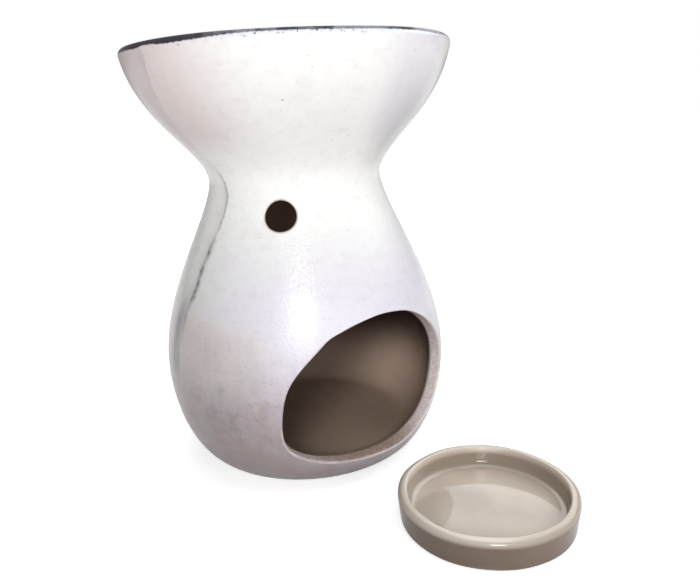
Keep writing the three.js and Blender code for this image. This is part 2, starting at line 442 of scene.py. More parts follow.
def cut_opening(shell, casting, outer, inner, outline, direction, edge, lined):
    """Fills the wall round a hole with rings, down its cut face and out on the inside.

    outer and inner are the angles and distances of the block's points on both walls, and
    outline those of the hole's edge on the outer wall, point for point. A lined hole has
    the inside's glaze on its cut face.
    """
    line = casting.line
    corner = casting.place(*outline)
    depth = through(casting, corner, direction)
    inner_corner = corner + depth[:, None] * direction
    inner_outline = (
        np.arctan2(inner_corner[:, 0], -inner_corner[:, 1]),
        line.at_height(inner_corner[:, 2], THROAT, FLOOR),
    )
    start = beside(casting, *outline, edge, 1)
    end = beside(casting, *inner_outline, edge, -1)

    t = eased(PATCH_RINGS)
    theta, s = [far + t * (near - far) for far, near in zip(outer, start)]
    rings = [casting.place(theta, s)]
    rims = [s]
    theta_in, s_in = [far + t[::-1] * (near - far) for far, near in zip(inner, end)]
    inner_rings = casting.place(theta_in, s_in)

    t = np.linspace(0, 1, EDGE_RINGS + 1)[1:, None, None]
    first = corner + edge * direction
    rings.append(rounded(rings[0][-1], corner, first, t))
    last = inner_corner - edge * direction
    t_cut = np.linspace(0, 1, CUT_RINGS + 1)[1:, None, None]
    rings.append(first + t_cut * (last - first))
    rings.append(rounded(last, inner_corner, inner_rings[0], t))
    rings.append(inner_rings[1:])

    ramp = t[:, 0]
    ones = np.ones((CUT_RINGS, 1))
    zeros = np.zeros((PATCH_RINGS, 1))
    cut = np.concatenate([zeros, [[0]], ramp, ones, 1 - ramp, zeros])
    inside = np.concatenate([zeros, [[0]], 0 * ramp, 0 * ones, ramp, 1 + zeros])
    if lined:
        inside = np.maximum(inside, cut)
    middle_count = 2 * EDGE_RINGS + CUT_RINGS
    rims += [np.repeat(s[-1:], middle_count, axis=0), s_in[1:]]
    rim = np.concatenate(rims) - casting.lip_top
    shell.add(
        np.concatenate(rings),
        {"rim": rim, "seam": NO_SEAM, "scraped": 0, "cut": cut, "inside": inside},
    )


def quarter(level, upright, level_share, upright_share):
    """A curve from where the window's edge runs level to where it stands upright."""
    return bezier([
        level,
        (level[0] + level_share * (upright[0] - level[0]), level[1]),
        (upright[0], upright[1] - upright_share * (upright[1] - level[1])),
        upright,
    ])


def window_outline():
    """The window's edge in degrees round the belly and millimetres up, as its solid has it."""
    side = math.degrees(math.asin(WINDOW_WIDTH / 2 / BELLY_RADIUS))
    sill = FLOOR_THICKNESS + WINDOW_SILL
    bottom = (2 * WINDOW_LEAN, sill)
    right = (side, sill + 0.394 * WINDOW_HEIGHT)
    top = (WINDOW_LEAN, sill + WINDOW_HEIGHT)
    left = (-side, sill + 0.265 * WINDOW_HEIGHT)
    return np.concatenate([
        quarter(bottom, right, 0.5, 0.45)[:-1],
        quarter(top, right, 0.56, 0.53)[:0:-1],
        quarter(top, left, 0.59, 0.6)[:-1],
        quarter(bottom, left, 0.63, 0.75)[:0:-1],
    ])


def matched_outline(casting, outer, outline, centre, wander):
    """Points of the outline, one in the direction of each point of the block round it."""
    scale = np.array([casting.line.radius(centre[1]), 1])
    block = (np.stack(outer, axis=-1) - centre) * scale
    edge = (outline - centre) * scale
    angle = np.arctan2(edge[:, 1], edge[:, 0])
    wanted = np.arctan2(block[:, 1], block[:, 0])
    reach = np.interp(wanted, angle, np.hypot(*edge.T), period=2 * math.pi) + wander(wanted)
    return (
        centre[0] + reach * np.cos(wanted) / scale[0],
        centre[1] + reach * np.sin(wanted) / scale[1],
    )


def casting_rows(line):
    """Distances along the profile, and the rows at which each hole's blocks start."""
    marks = line.marks
    vent = NECK_HEIGHT - VENT_BELOW_NECK
    vent_outside = line.at_height(vent, BELLY, NECK)
    vent_inside = line.at_height(vent, THROAT, FLOOR)

    # Where each stretch ends, and either the spacing of its rows or their count, which is
    # the same on both sides of a hole
    stretches = [
        (marks[FOOT], UNDERSIDE_STEP, None),
        (line.at_height(WINDOW_BAND[0], FOOT, BELLY), FOOT_STEP, None),
        (line.at_height(WINDOW_BAND[1], BELLY, NECK), None, WINDOW_ROWS),
        (line.at_height(vent - VENT_BAND, BELLY, NECK), ROW_STEP, None),
        (vent_outside + VENT_BAND, None, VENT_ROWS),
        (marks[LIP], ROW_STEP, None),
        (marks[BOWL_INSIDE], LIP_STEP, None),
        (vent_inside - VENT_BAND, ROW_STEP, None),
        (vent_inside + VENT_BAND, None, VENT_ROWS),
        (line.at_height(WINDOW_BAND[1], THROAT, FLOOR), ROW_STEP, None),
        (marks[FLOOR] + CHAMBER_FLOOR_RADIUS - FLOOR_REACH, None, WINDOW_ROWS),
        (marks[AXIS], 2 * ROW_STEP, None),
    ]
    rows = [np.zeros(1)]
    starts = []
    for end, spacing, count in stretches:
        start = rows[-1][-1]
        count = count or math.ceil((end - start) / spacing)
        starts.append(sum(len(r) for r in rows) - 1)
        rows.append(np.linspace(start, end, count + 1)[1:])
    blocks = {"window": (starts[2], starts[10]), "vent": (starts[4], starts[8])}
    return np.concatenate(rows), blocks


def casting_columns():
    """Angles round the casting, closer together at its two seams."""
    base = np.linspace(-180, 180, COLUMNS, endpoint=False)
    offsets = np.array(COLUMNS_BY_SEAM)
    close = np.concatenate([-offsets[::-1], [0], offsets])
    for seam in (SEAM_AZIMUTH, SEAM_AZIMUTH + 180):
        base = np.concatenate([base[np.abs(base - seam) > CLEAR_OF_SEAM], seam + close])
    return np.radians(np.sort(base))


def knife_wander(angle):
    """How far the window's edge strays outwards from its outline, in millimetres."""
    stray = KNIFE_OFFSET + waves(angle, KNIFE_WAVES)
    for middle, width, reach in KNIFE_STRAYS:
        away = np.degrees(np.angle(np.exp(1j * (angle - math.radians(middle)))))
        stray = stray + reach * np.exp(-((away / width) ** 2))
    return stray


def window_edge(casting, outer):
    """The window's edge on the outer wall, and the knife's direction at each of its points."""
    line = casting.line
    degrees, heights = window_outline().T
    s = np.where(
        heights < BELLY_HEIGHT,
        line.at_height(heights, FOOT, BELLY),
        line.at_height(heights, BELLY, NECK),
    )
    flat = np.stack([np.radians(degrees), s], axis=-1)
    centre = np.array([0, line.marks[BELLY]])
    outline = matched_outline(casting, outer, flat, centre, knife_wander)
    inwards = np.array([0, WINDOW_FOCUS, 0]) - casting.place(*outline)
    inwards[:, 2] = 0
    return outline, inwards / np.linalg.norm(inwards, axis=1)[:, None]


def vent_edge(casting, outer, azimuth):
    """A vent's edge on the outer wall, and the direction in which it was bored."""
    line = casting.line
    theta = math.radians(azimuth)
    s = float(line.at_height(NECK_HEIGHT - VENT_BELOW_NECK, BELLY, NECK))
    turn = np.linspace(0, 2 * math.pi, 120, endpoint=False)
    across = theta + VENT_RADIUS * np.cos(turn) / line.radius(s)
    flat = np.stack([across, s + VENT_RADIUS * np.sin(turn)], axis=-1)
    outline = matched_outline(casting, outer, flat, np.array([theta, s]), np.zeros_like)
    inwards = -np.array(heading(azimuth + VENT_TURN, VENT_RISE))
    return outline, np.repeat(inwards[None], len(outline[0]), axis=0)


def build_casting():
    """The casting: a grid of rows and columns with the window and the two vents cut in it."""
    casting = Casting()
    shell = Shell()
    rows, blocks = casting_rows(casting.line)
    columns = casting_columns()
    keep = np.ones((len(rows) - 1, len(columns)), bool)
    holes = [
        ("window", 0, WINDOW_REACH, WINDOW_ROWS),
        ("vent", VENT_AZIMUTH, VENT_REACH, VENT_ROWS),
        ("vent", VENT_AZIMUTH + 180, VENT_REACH, VENT_ROWS),
    ]
    for kind, azimuth, reach, count in holes:
        left = nearest(columns, math.radians(azimuth - reach))
        right = nearest(columns, math.radians(azimuth + reach))
        outer_row, inner_row = blocks[kind]
        keep[outer_row : outer_row + count, left:right] = False
        keep[inner_row : inner_row + count, left:right] = False
        row, column = perimeter(outer_row, outer_row + count, left, right)
        outer = columns[column], rows[row]
        row, column = perimeter(inner_row + count, inner_row, left, right)
        inner = columns[column], rows[row]
        if kind == "window":
            cut = window_edge(casting, outer)
            cut_opening(shell, casting, outer, inner, *cut, WINDOW_EDGE, False)
        else:
            cut = vent_edge(casting, outer, azimuth)
            cut_opening(shell, casting, outer, inner, *cut, VENT_EDGE, True)

    theta, s = np.meshgrid(columns, rows)
    values = casting.marks_of(theta, s)
    inside = (s > casting.line.marks[THROAT]).astype(float)
    values.update({"cut": 0, "inside": inside})
    shell.add(casting.place(theta, s), values, keep)
    return bpy.data.objects.new("glazed_casting", shell.mesh("glazed_casting"))


def turned(name, points, columns, uneven=None):
    """A closed profile of radius and height turned about +Z, uneven where asked."""
    theta = np.linspace(0, 2 * math.pi, columns, endpoint=False)
    radius, height = np.repeat(points.T[:, :, None], columns, axis=2)
    if uneven:
        radius, height = uneven(theta, radius, height)
    place = np.stack([radius * np.sin(theta), -radius * np.cos(theta), height], axis=-1)
    shell = Shell()
    shell.add(place, {})
    return bpy.data.objects.new(name, shell.mesh(name))


def resampled(stretches, step):
    """Points along a profile at about an even step, keeping the ends of each stretch."""
    points = [np.asarray(stretches[0][:1], float)]
    for stretch in stretches:
        stretch = np.asarray(stretch, float)
        along = distances_along(stretch)
        count = max(1, math.ceil(along[-1] / step))
        at = np.linspace(0, along[-1], count + 1)[1:]
        sides = [np.interp(at, along, side) for side in stretch.T]
        points.append(np.stack(sides, axis=-1))
    return np.concatenate(points)


def build_disc():
    """The disc in the throat, with glaze pooled in a fillet against the wall."""
    line = casting_profile()
    low = DISC_LOW.z
    high = DISC_HIGH.z
    middle = high - DISC_DISH
    rise = np.linspace(low, high + DISC_FILLET, 16)
    wall = [(line.radius(line.at_height(z, BOWL_INSIDE, CHAMBER)) - DISC_GAP, z) for z in rise]
    wall_radius, wall_top = wall[-1]
    pool = bezier([
        (wall_radius, wall_top),
        (wall_radius - 1.2, high + 0.2),
        (wall_radius - 2.4, high - 0.1),
        (wall_radius - 7, high - DISC_DISH * 0.6),
    ], 40)
    profile = resampled([
        [(0, low), wall[0]],
        wall,
        pool,
        bezier([pool[-1], (wall_radius - 12, middle), (6, middle), (0, middle)]),
    ], DISC_STEP)
    return turned("bowl_floor_disc", profile, DISC_COLUMNS)


def build_dish():
    """The dish, trimmed by hand, so its lip and wall are a little uneven."""
    radius = (DISH_HIGH.x - DISH_LOW.x) / 2 - DISH_SIDE_ROOM
    height = DISH_HIGH.z - DISH_TOP_ROOM
    foot = radius - DISH_TAPER
    inside = radius - DISH_WALL
    round_over = DISH_WALL - DISH_INNER_EDGE
    foot_edge = arc((foot - DISH_FOOT_EDGE, DISH_FOOT_EDGE), DISH_FOOT_EDGE, -math.pi / 2, 0)
    outer_lip = arc((radius - round_over, height - round_over), round_over, 0, math.pi / 2)
    inner_lip = arc(
        (inside + DISH_INNER_EDGE, height - DISH_INNER_EDGE),
        DISH_INNER_EDGE, math.pi / 2, math.pi,
    )
    fillet = arc(
        (inside - DISH_FLOOR_FILLET, DISH_FLOOR_THICKNESS + DISH_FLOOR_FILLET),
        DISH_FLOOR_FILLET, 0, -math.pi / 2,
    )
    floor_radius = np.linspace(fillet[-1][0], 0, 40)
    dome = DISH_FLOOR_DOME * smooth(floor_radius, fillet[-1][0], 0)
    profile = resampled([
        [(0, 0), foot_edge[0]],
        foot_edge,
        [foot_edge[-1], outer_lip[0]],
        outer_lip,
        inner_lip,
        [inner_lip[-1], fillet[0]],
        fillet,
        np.c_[floor_radius, DISH_FLOOR_THICKNESS + dome],
    ], DISH_STEP)

    def uneven(theta, r, z):
        wall = smooth(r, inside - 6, inside)
        up = smooth(z, 1, height)
        wide = waves(theta, DISH_WAVES)
        tall = waves(theta, DISH_RIM_WAVES) - DISH_RIM_DROP
        return r + wide * wall * (0.5 + 0.5 * up), z + tall * up * wall

    dish = turned("taupe_dish", profile, DISH_COLUMNS, uneven)
    centre = (DISH_LOW + DISH_HIGH) / 2 * MM
    dish.data.transform(Matrix.Translation((centre.x, centre.y, 0)))
    return dish


class Paint:
    """Short calls for building a material or the world out of nodes."""

    def __init__(self, owner, shader="Principled BSDF"):
        self.owner = owner
        self.owner.use_nodes = True
        self.tree = self.owner.node_tree
        self.shader = self.tree.nodes[shader]
        self.place = self.node("ShaderNodeTexCoord").outputs["Object"]

    def node(self, kind, inputs=None, **settings):
        """A node with its settings, and with its inputs, by place or name, linked or set."""
        made = self.tree.nodes.new(kind)
        for key, value in settings.items():
            setattr(made, key, value)
        for key, value in (inputs or {}).items():
            self.put(made.inputs[key], value)
        return made

    def put(self, socket, value):
        """Links a socket, or sets its value where it is a plain number or colour."""
        if isinstance(value, bpy.types.NodeSocket):
            self.tree.links.new(value, socket)
        else:
            socket.default_value = value

    def math(self, operation, first, second=0.0):
        inputs = {0: first, 1: second}
        return self.node("ShaderNodeMath", inputs, operation=operation).outputs[0]

    def together(self, operation, values):
        total = values[0]
        for value in values[1:]:
            total = self.math(operation, total, value)
        return total

    def times(self, *values):
        return self.together("MULTIPLY", values)

    def plus(self, *values):
        return self.together("ADD", values)

    def most(self, *values):
        return self.together("MAXIMUM", values)

    def hypot(self, x, y):
        return self.math("SQRT", self.plus(self.times(x, x), self.times(y, y)))

    def step(self, value, low, high, to_low=0.0, to_high=1.0):
        """A smooth step from one value to another between low and high."""
        inputs = dict(enumerate((value, low, high, to_low, to_high)))
        return self.node("ShaderNodeMapRange", inputs, interpolation_type="SMOOTHSTEP").outputs[0]

    def mix(self, share, first, second):
        inputs = {0: share, 6: first, 7: second}
        return self.node("ShaderNodeMix", inputs, data_type="RGBA").outputs[2]

    def scaled(self, place, factors):
        inputs = {0: place, 1: factors}
        return self.node("ShaderNodeVectorMath", inputs, operation="MULTIPLY").outputs[0]

    def noise(self, size, detail=2.0, roughness=0.5, stretch=None, place=None):
        """Noise whose blotches are about this many millimetres wide, squeezed by stretch."""
        place = place or self.place
        if stretch:
            place = self.scaled(place, stretch)
        scale = 1 / (size * MM)
        inputs = {"Vector": place, "Scale": scale, "Detail": detail, "Roughness": roughness}
        return self.node("ShaderNodeTexNoise", inputs).outputs["Fac"]

    def specks(self, spacing, size, share):
        """Round specks: 1 at their middle, on a share of the cells of a grid."""
        inputs = {"Vector": self.place, "Scale": 1 / (spacing * MM)}
        cells = self.node("ShaderNodeTexVoronoi", inputs).outputs
        chosen = self.node("ShaderNodeSeparateColor", {0: cells["Color"]})
        picked = self.step(chosen.outputs[0], share, share - 0.02)
        near = self.step(cells["Distance"], size / spacing, 0.4 * size / spacing)
        return self.times(picked, near)

    def axes(self):
        """The three coordinates of a point, in millimetres."""
        place = self.scaled(self.place, [1 / MM] * 3)
        return self.node("ShaderNodeSeparateXYZ", {0: place}).outputs

    def between(self, value, start, full, still_full, end):
        """1 from full to still_full, fading out to start and end."""
        return self.times(self.step(value, start, full), self.step(value, end, still_full))

    def near(self, place, reach):
        """1 at a place, fading to 0 at a distance from it, all in millimetres."""
        inputs = {0: self.place, 1: [MM * coordinate for coordinate in place]}
        away = self.node("ShaderNodeVectorMath", inputs, operation="DISTANCE").outputs["Value"]
        return self.step(away, reach * MM, 0)

    def seen(self, *rays):
        """1 for the named kinds of ray, such as those of the camera."""
        path = self.node("ShaderNodeLightPath")
        return self.most(*[path.outputs[ray] for ray in rays])

    def backdrop(self):
        """1 to the camera, and less in the gloss, where the lights have to stand out."""
        glossy = self.times(self.seen("Is Glossy Ray"), REFLECTED_SHARE)
        return self.most(glossy, self.seen("Is Camera Ray", "Is Transmission Ray"))

    def value(self, name):
        """A number that the mesh carries at its points."""
        return self.node("ShaderNodeAttribute", attribute_name=name).outputs["Fac"]

    def bump(self, height, distance, normal=None):
        inputs = {"Height": height, "Distance": distance * MM}
        if normal:
            inputs["Normal"] = normal
        return self.node("ShaderNodeBump", inputs).outputs[0]

    def finish(self, inputs):
        """Links or sets the shader's inputs, and hands back what the nodes belong to."""
        for name, value in inputs.items():
            self.put(self.shader.inputs[name], value)
        return self.owner


# Colours, written as the linear values that Blender's shaders take
def srgb(red, green, blue):
    """A colour of 0 to 255 a channel in linear light, with its opacity."""
    def linear(value):
        value /= 255
        return value / 12.92 if value < 0.04045 else ((value + 0.055) / 1.055) ** 2.4
    return linear(red), linear(green), linear(blue), 1


PURE_WHITE = (1, 1, 1, 1)
WHITE = srgb(243, 243, 241)
LILAC_WHITE = srgb(219, 216, 226)
GREEN_WHITE = srgb(218, 221, 217)
PINK_WHITE = srgb(216, 201, 200)
PINK_GREY_SHADE = srgb(164, 150, 149)
LILAC_GREY_SHADE = srgb(168, 160, 165)
PALE_BLUE = srgb(208, 216, 238)
IRON = srgb(48, 43, 52)
IRON_BROWN = srgb(112, 102, 96)
IRON_TAN = srgb(122, 111, 102)
SPECK = srgb(96, 90, 98)
GREY_MARK_AND_SHADE = srgb(112, 112, 122)
SMUDGE = srgb(118, 108, 110)
CUT_BROWN = srgb(154, 131, 117)
CUT_TAN = srgb(188, 168, 158)
CUT_CLAY = srgb(196, 182, 178)
CUT_PALE = srgb(222, 213, 213)
EDGE_HIGHLIGHT = srgb(226, 219, 218)
TAUPE = srgb(176, 164, 151)
TAUPE_DEEP = srgb(162, 148, 135)
TAUPE_LIT_FLOOR = srgb(206, 193, 180)
TAUPE_HIGHLIGHT = srgb(222, 212, 200)
TAUPE_LIP = srgb(196, 184, 172)
TAUPE_WALL = srgb(148, 135, 121)
TAUPE_SHADE = srgb(124, 106, 92)
TAUPE_DARK_SHADE = srgb(98, 82, 70)
CHAMBER_TAUPE = srgb(160, 138, 123)
CHAMBER_SHADE = srgb(60, 48, 42)
BISQUE = srgb(214, 200, 186)


# In the materials, a height is in millimetres above the table, and a turn in radians round
# from the window's middle, so the camera's left is about -2.1 and its right about 1.
def white_coat(paint, turn, height, blotch):
    """White on the bowl, lilac and pale green on the belly, and painted shade low down, on the
    left and under the bowl's right.
    """
    rightwards = paint.plus(turn, paint.times(paint.noise(24, 3), 1.6))
    right = paint.between(rightwards, -0.6, 0.2, 2, 2.9)
    belly = paint.mix(right, GREEN_WHITE, LILAC_WHITE)
    white = paint.mix(paint.step(height, 92, 58), WHITE, belly)
    on_bowl = paint.step(height, 104, 116)
    lilac = paint.times(paint.between(turn, -0.1, 0.2, 0.4, 0.6), on_bowl, 0.6)
    white = paint.mix(lilac, white, LILAC_WHITE)

    # A pink blush round the left side, darkened there with painted shade, and in small faint
    # patches
    left = paint.between(turn, -2.4, -1.65, -1.35, -0.65)
    on_belly = paint.between(height, 36, 44, 52, 60)
    blush_and_shade = paint.times(left, paint.most(on_bowl, on_belly), 0.75)
    patches = paint.times(
        paint.step(blotch, 0.5, 0.72, 0, 0.18),
        paint.between(turn, -2.9, -2, -0.6, -0.2),
    )
    white = paint.mix(paint.most(blush_and_shade, patches), white, PINK_WHITE)

    # Painted shade, greyer, on the bowl's right underside
    under_shade = paint.between(height, 94, 109, 111, 138)
    under_shade = paint.times(under_shade, paint.between(turn, 0, 0.6, 0.7, 1.5), 0.5)
    white = paint.mix(under_shade, white, GREY_MARK_AND_SHADE)

    # Painted shade over the lower belly: darker and pinkish grey towards the table, in soft blots,
    # and less on the right
    drift = paint.times(paint.plus(blotch, -0.5), 22)
    higher = paint.times(paint.between(turn, -2.8, -1.6, -1, -0.6), -5)
    painted_shade = paint.step(paint.plus(height, drift, higher), 62, 17)
    shade_colour = paint.mix(paint.step(blotch, 0.35, 0.65), LILAC_GREY_SHADE, PINK_GREY_SHADE)
    less_shade = paint.times(paint.between(turn, -0.4, 0.2, 1.6, 2.8), 0.4)
    painted_shade = paint.times(painted_shade, paint.math("SUBTRACT", 1, less_shade))
    return paint.mix(painted_shade, white, shade_colour)


def fine_marks(paint, white, height, speck):
    """Faint lines and dashes across, as the sponge leaves them, a fine mottle and dark specks."""
    wiping = paint.step(paint.noise(1.6, 3, 0.6, stretch=(0.18, 0.18, 1)), 0.5, 0.75, 0, 0.05)
    mottle = paint.step(paint.noise(3, 3), 0.45, 0.75, 0, 0.05)
    dashes = paint.step(paint.noise(0.9, 2, 0.6, stretch=(0.6, 0.6, 1)), 0.5, 0.75, 0, 0.14)
    dashes = paint.times(dashes, paint.between(height, 14, 30, 46, 58))
    white = paint.mix(paint.plus(wiping, mottle, dashes), white, GREY_MARK_AND_SHADE)
    return paint.mix(paint.times(speck, 0.8), white, SPECK)


def seam_marks(paint, white, turn, height, blotch):
    """Painted shade on the band that was scraped down beside the seam and on the bowl beside it,
    and the seam's own broken line.
    """
    seam = paint.value("seam")
    scraped = paint.value("scraped")
    along = {0: paint.times(seam, MM), 1: paint.times(height, 0.12 * MM)}
    along = paint.node("ShaderNodeCombineXYZ", along).outputs[0]
    streak = paint.noise(1.5, 3, 0.6, place=along)
    # The scraped band, greyed with painted shade
    band = paint.times(
        paint.step(paint.plus(height, paint.times(blotch, 16)), 36, 50),
        paint.step(height, 68, 52, 0.08, 0.68),
        paint.step(height, 118, 104, 0.12, 1),
        paint.step(streak, 0.35, 0.65, 0.72, 1),
        paint.step(seam, 16, 4),
        scraped,
    )
    white = paint.mix(band, white, GREY_MARK_AND_SHADE)
    # The bowl beside the seam, darkened with painted shade
    shaded = paint.times(scraped, paint.step(height, 100, 116, 0, 0.28), paint.step(seam, 50, 5))
    white = paint.mix(shaded, white, PINK_GREY_SHADE)

    # A fine line on the neck, and below it a ragged one that is darkest in smudges
    ragged = paint.times(paint.plus(paint.noise(1.4, 3, 0.6), -0.5), 1.8)
    course = paint.math("ABSOLUTE", paint.plus(seam, ragged))
    on_neck = paint.between(height, 80, 86, 100, 106)
    neck = paint.times(on_neck, paint.step(course, 0.8, 0.25), 0.5)
    shoulder = paint.times(
        paint.between(height, 46, 54, 78, 83),
        paint.step(paint.noise(5, 3, 0.6), 0.42, 0.6, 0.45, 1),
    )
    core = paint.times(shoulder, paint.step(course, 1.1, 0.4))
    halo = paint.times(shoulder, paint.step(course, 2.4, 0.6, 0, 0.5))
    white = paint.mix(paint.most(neck, core, halo), white, GREY_MARK_AND_SHADE)

    # Soft smudges low on the left
    smear = paint.times(
        paint.between(turn, -1.6, -1.2, -0.95, -0.6),
        paint.between(height, 14, 22, 34, 42),
        paint.step(paint.noise(5, 3, 0.6), 0.45, 0.7, 0, 0.3),
    )
    return paint.mix(smear, white, SMUDGE)


def rim_line(paint, white, turn, rim):
    """The iron line on the lip, broad at the left and tan at the right, and where it is."""
    ragged = paint.noise(0.8, 4, 0.7)
    broad = paint.between(turn, -2.3, -1.9, -1.15, -0.68)
    narrower = paint.between(turn, -1.44, -1.38, -1.3, -1.24)
    right = paint.between(turn, 0.1, 0.45, 1.8, 2.8)
    reach = paint.plus(
        1.15,
        paint.times(broad, 1.05),
        paint.times(narrower, -0.4),
        paint.times(ragged, 1.1),
        paint.times(right, 0.4),
    )
    below = paint.plus(rim, reach)
    faint = paint.step(paint.noise(7, 3, 0.6), 0.62, 0.4, 0, 0.25)
    faint = paint.times(faint, paint.step(broad, 1, 0))
    line = paint.times(paint.step(below, -0.2, 0.2), paint.math("SUBTRACT", 1, faint))
    fringe = paint.plus(0.1, paint.times(paint.between(turn, -0.95, -0.75, 1.8, 2.8), 0.5))
    white = paint.mix(paint.times(fringe, paint.step(below, -1.4, -0.2)), white, PALE_BLUE)
    spots = paint.times(
        paint.step(paint.noise(0.9, 3, 0.6), 0.56, 0.64),
        paint.between(turn, -1, -0.75, -0.3, 0.1),
        paint.step(below, -1.8, -0.3),
    )
    white = paint.mix(paint.times(spots, 0.8), white, IRON)
    brown = paint.times(paint.between(turn, -2.9, -2.3, -1.75, -1.5), 0.6)
    iron = paint.mix(brown, IRON, IRON_BROWN)
    iron = paint.mix(paint.times(right, 0.8), iron, IRON_TAN)
    return paint.mix(line, white, iron), line


def glaze_on_casting():
    """White outside, taupe in the bowl and the chamber, and bare where it was cut or wiped."""
    paint = Paint(bpy.data.materials.new("burner_glaze"))
    rim = paint.value("rim")
    cut = paint.value("cut")
    inside = paint.value("inside")
    x, y, height = paint.axes()
    turn = paint.math("ARCTAN2", x, paint.times(y, -1))
    blotch = paint.noise(9, 4, 0.6)

    # Fine specks crowd together in places, and a few coarse ones lie between them
    crowd = paint.step(blotch, 0.42, 0.66, 0.25, 1)
    for place, reach in PINHOLES:
        crowd = paint.most(crowd, paint.times(paint.near(place, reach), 1.8))
    fine = paint.times(paint.specks(1.5, 0.27, 0.3), crowd, 0.6)
    speck = paint.most(fine, paint.specks(7, 0.34, 0.4))

    glaze = white_coat(paint, turn, height, blotch)
    glaze = fine_marks(paint, glaze, height, speck)
    glaze = seam_marks(paint, glaze, turn, height, blotch)
    glaze, line = rim_line(paint, glaze, turn, rim)

    # Taupe in the bowl and the chamber, which is browner, and darker with painted shade above the
    # flame
    taupe = paint.mix(paint.step(paint.noise(30, 2), 0.35, 0.7), TAUPE, TAUPE_DEEP)
    chamber_shade = paint.between(height, 16, 38, 60, 78)
    shaded_chamber = paint.mix(chamber_shade, CHAMBER_TAUPE, CHAMBER_SHADE)
    taupe = paint.mix(paint.step(height, 100, 90), taupe, shaded_chamber)
    ragged = paint.noise(1.1, 4, 0.7)
    bowl = paint.step(paint.plus(rim, ragged), 0.7, 1.2)
    glaze = paint.mix(bowl, glaze, taupe)

    # Clay shows through on the window's cut face, with a painted highlight along its rounded edge
    grain = paint.noise(1.2, 4, 0.7)
    grainy = paint.step(grain, 0.3, 0.75)
    low_clay = paint.mix(grainy, CUT_BROWN, CUT_TAN)
    high_clay = paint.mix(grainy, CUT_CLAY, CUT_PALE)
    clay = paint.mix(paint.step(height, 9, 14), low_clay, high_clay)
    glaze = paint.mix(paint.step(cut, 0.45, 0.9), glaze, clay)
    # The painted highlight along the rounded edge, broken in places
    edge = paint.between(cut, 0.05, 0.3, 0.5, 0.85)
    edge = paint.times(edge, paint.step(blotch, 0.4, 0.6, 0.1, 0.5))
    glaze = paint.mix(edge, glaze, EDGE_HIGHLIGHT)
    glaze = paint.mix(inside, glaze, taupe)

    # The foot, wiped bare of glaze
    wiped = paint.plus(height, paint.times(ragged, 0.4))
    bare = paint.step(wiped, 0.6, 0.3)
    glaze = paint.mix(bare, glaze, BISQUE)

    # Orange peel that is coarser on the belly, pits at the specks and a rough cut face
    normal = paint.bump(paint.noise(2.6, 2), 0.06)
    normal = paint.bump(paint.noise(0.7, 2, 0.6), 0.03, normal)
    on_belly = paint.times(paint.step(height, 100, 85), paint.step(inside, 0.5, 0))
    normal = paint.bump(paint.times(paint.noise(0.8, 1), on_belly), 0.14, normal)
    normal = paint.bump(speck, 0.06, normal)
    normal = paint.bump(paint.times(cut, grain), 0.14, normal)
    roughness = paint.step(paint.noise(7, 3), 0.3, 0.7, 0.1, 0.18)
    roughness = paint.plus(roughness, paint.times(bare, 0.5), paint.times(line, 0.6))
    return paint.finish(
        {"Base Color": glaze, "Roughness": roughness, "Normal": normal, "IOR": 1.5}
    )


def taupe_glaze(name, tinted=None):
    """A taupe glaze with a few specks and a high gloss, with painted light and shade where a tint
    is given.
    """
    paint = Paint(bpy.data.materials.new(name))
    blot = paint.step(paint.noise(20, 2), 0.35, 0.7)
    colour = paint.mix(blot, TAUPE, TAUPE_DEEP)
    if tinted:
        colour = tinted(paint, colour, blot)
    colour = paint.mix(paint.times(paint.specks(4, 0.2, 0.3), 0.4), colour, SPECK)
    peel = paint.bump(paint.noise(2.2, 2), 0.015)
    roughness = paint.step(paint.noise(6, 2), 0.3, 0.7, 0.05, 0.1)
    return paint.finish(
        {"Base Color": colour, "Roughness": roughness, "Normal": peel, "IOR": 1.55}
    )


def dish_tint(paint, colour, blot):
    """Painted light and shade on the dish: a paler floor, lip and inner left, and a darker brown
    outside.
    """
    x, y, height = paint.axes()
    centre = (DISH_LOW + DISH_HIGH) / 2
    radius = (DISH_HIGH.x - DISH_LOW.x) / 2
    x_away = paint.plus(x, -centre.x)
    away = paint.hypot(x_away, paint.plus(y, -centre.y))

    # The floor is paler with painted light, the inner wall darker, and the left side lighter with
    # painted light
    left = paint.step(x_away, 0, -0.8 * radius)
    wall = paint.mix(left, TAUPE_WALL, TAUPE)
    on_floor = paint.step(away, radius - 4.2, radius - 6.5)
    floor = paint.mix(paint.times(blot, 0.5), TAUPE_LIT_FLOOR, colour)
    colour = paint.mix(on_floor, wall, floor)
    colour = paint.mix(paint.times(left, 0.3), colour, TAUPE_HIGHLIGHT)
    # A painted highlight along the fillet between the inner wall and the floor
    fillet = paint.times(
        paint.between(away, radius - 6.2, radius - 5.2, radius - 4.6, radius - 3.8),
        paint.step(height, 6.5, 4.5),
    )
    colour = paint.mix(paint.times(fillet, 0.35), colour, TAUPE_HIGHLIGHT)

    # Painted shade, darker and browner, outside and on the outer half of the lip, darkest at the
    # left, painted light on the lip, and a painted highlight round its inner edge
    outside = paint.step(away, radius - 1.7, radius - 0.9)
    painted_shade = paint.mix(paint.times(blot, 0.3), TAUPE_SHADE, TAUPE_WALL)
    painted_shade = paint.mix(paint.times(left, 0.5), painted_shade, TAUPE_DARK_SHADE)
    lip = paint.step(height, DISH_HIGH.z - 3, DISH_HIGH.z - 0.9, 0, 0.9)
    colour = paint.mix(lip, colour, paint.mix(left, TAUPE_LIP, TAUPE_HIGHLIGHT))
    colour = paint.mix(paint.times(outside, paint.step(lip, 0.9, 0, 0.35, 1)), colour, painted_shade)
    inner_edge_highlight = paint.between(away, radius - 3.2, radius - 2.8, radius - 2.4, radius - 1.9)
    return paint.mix(paint.times(inner_edge_highlight, lip, 0.8), colour, TAUPE_HIGHLIGHT)


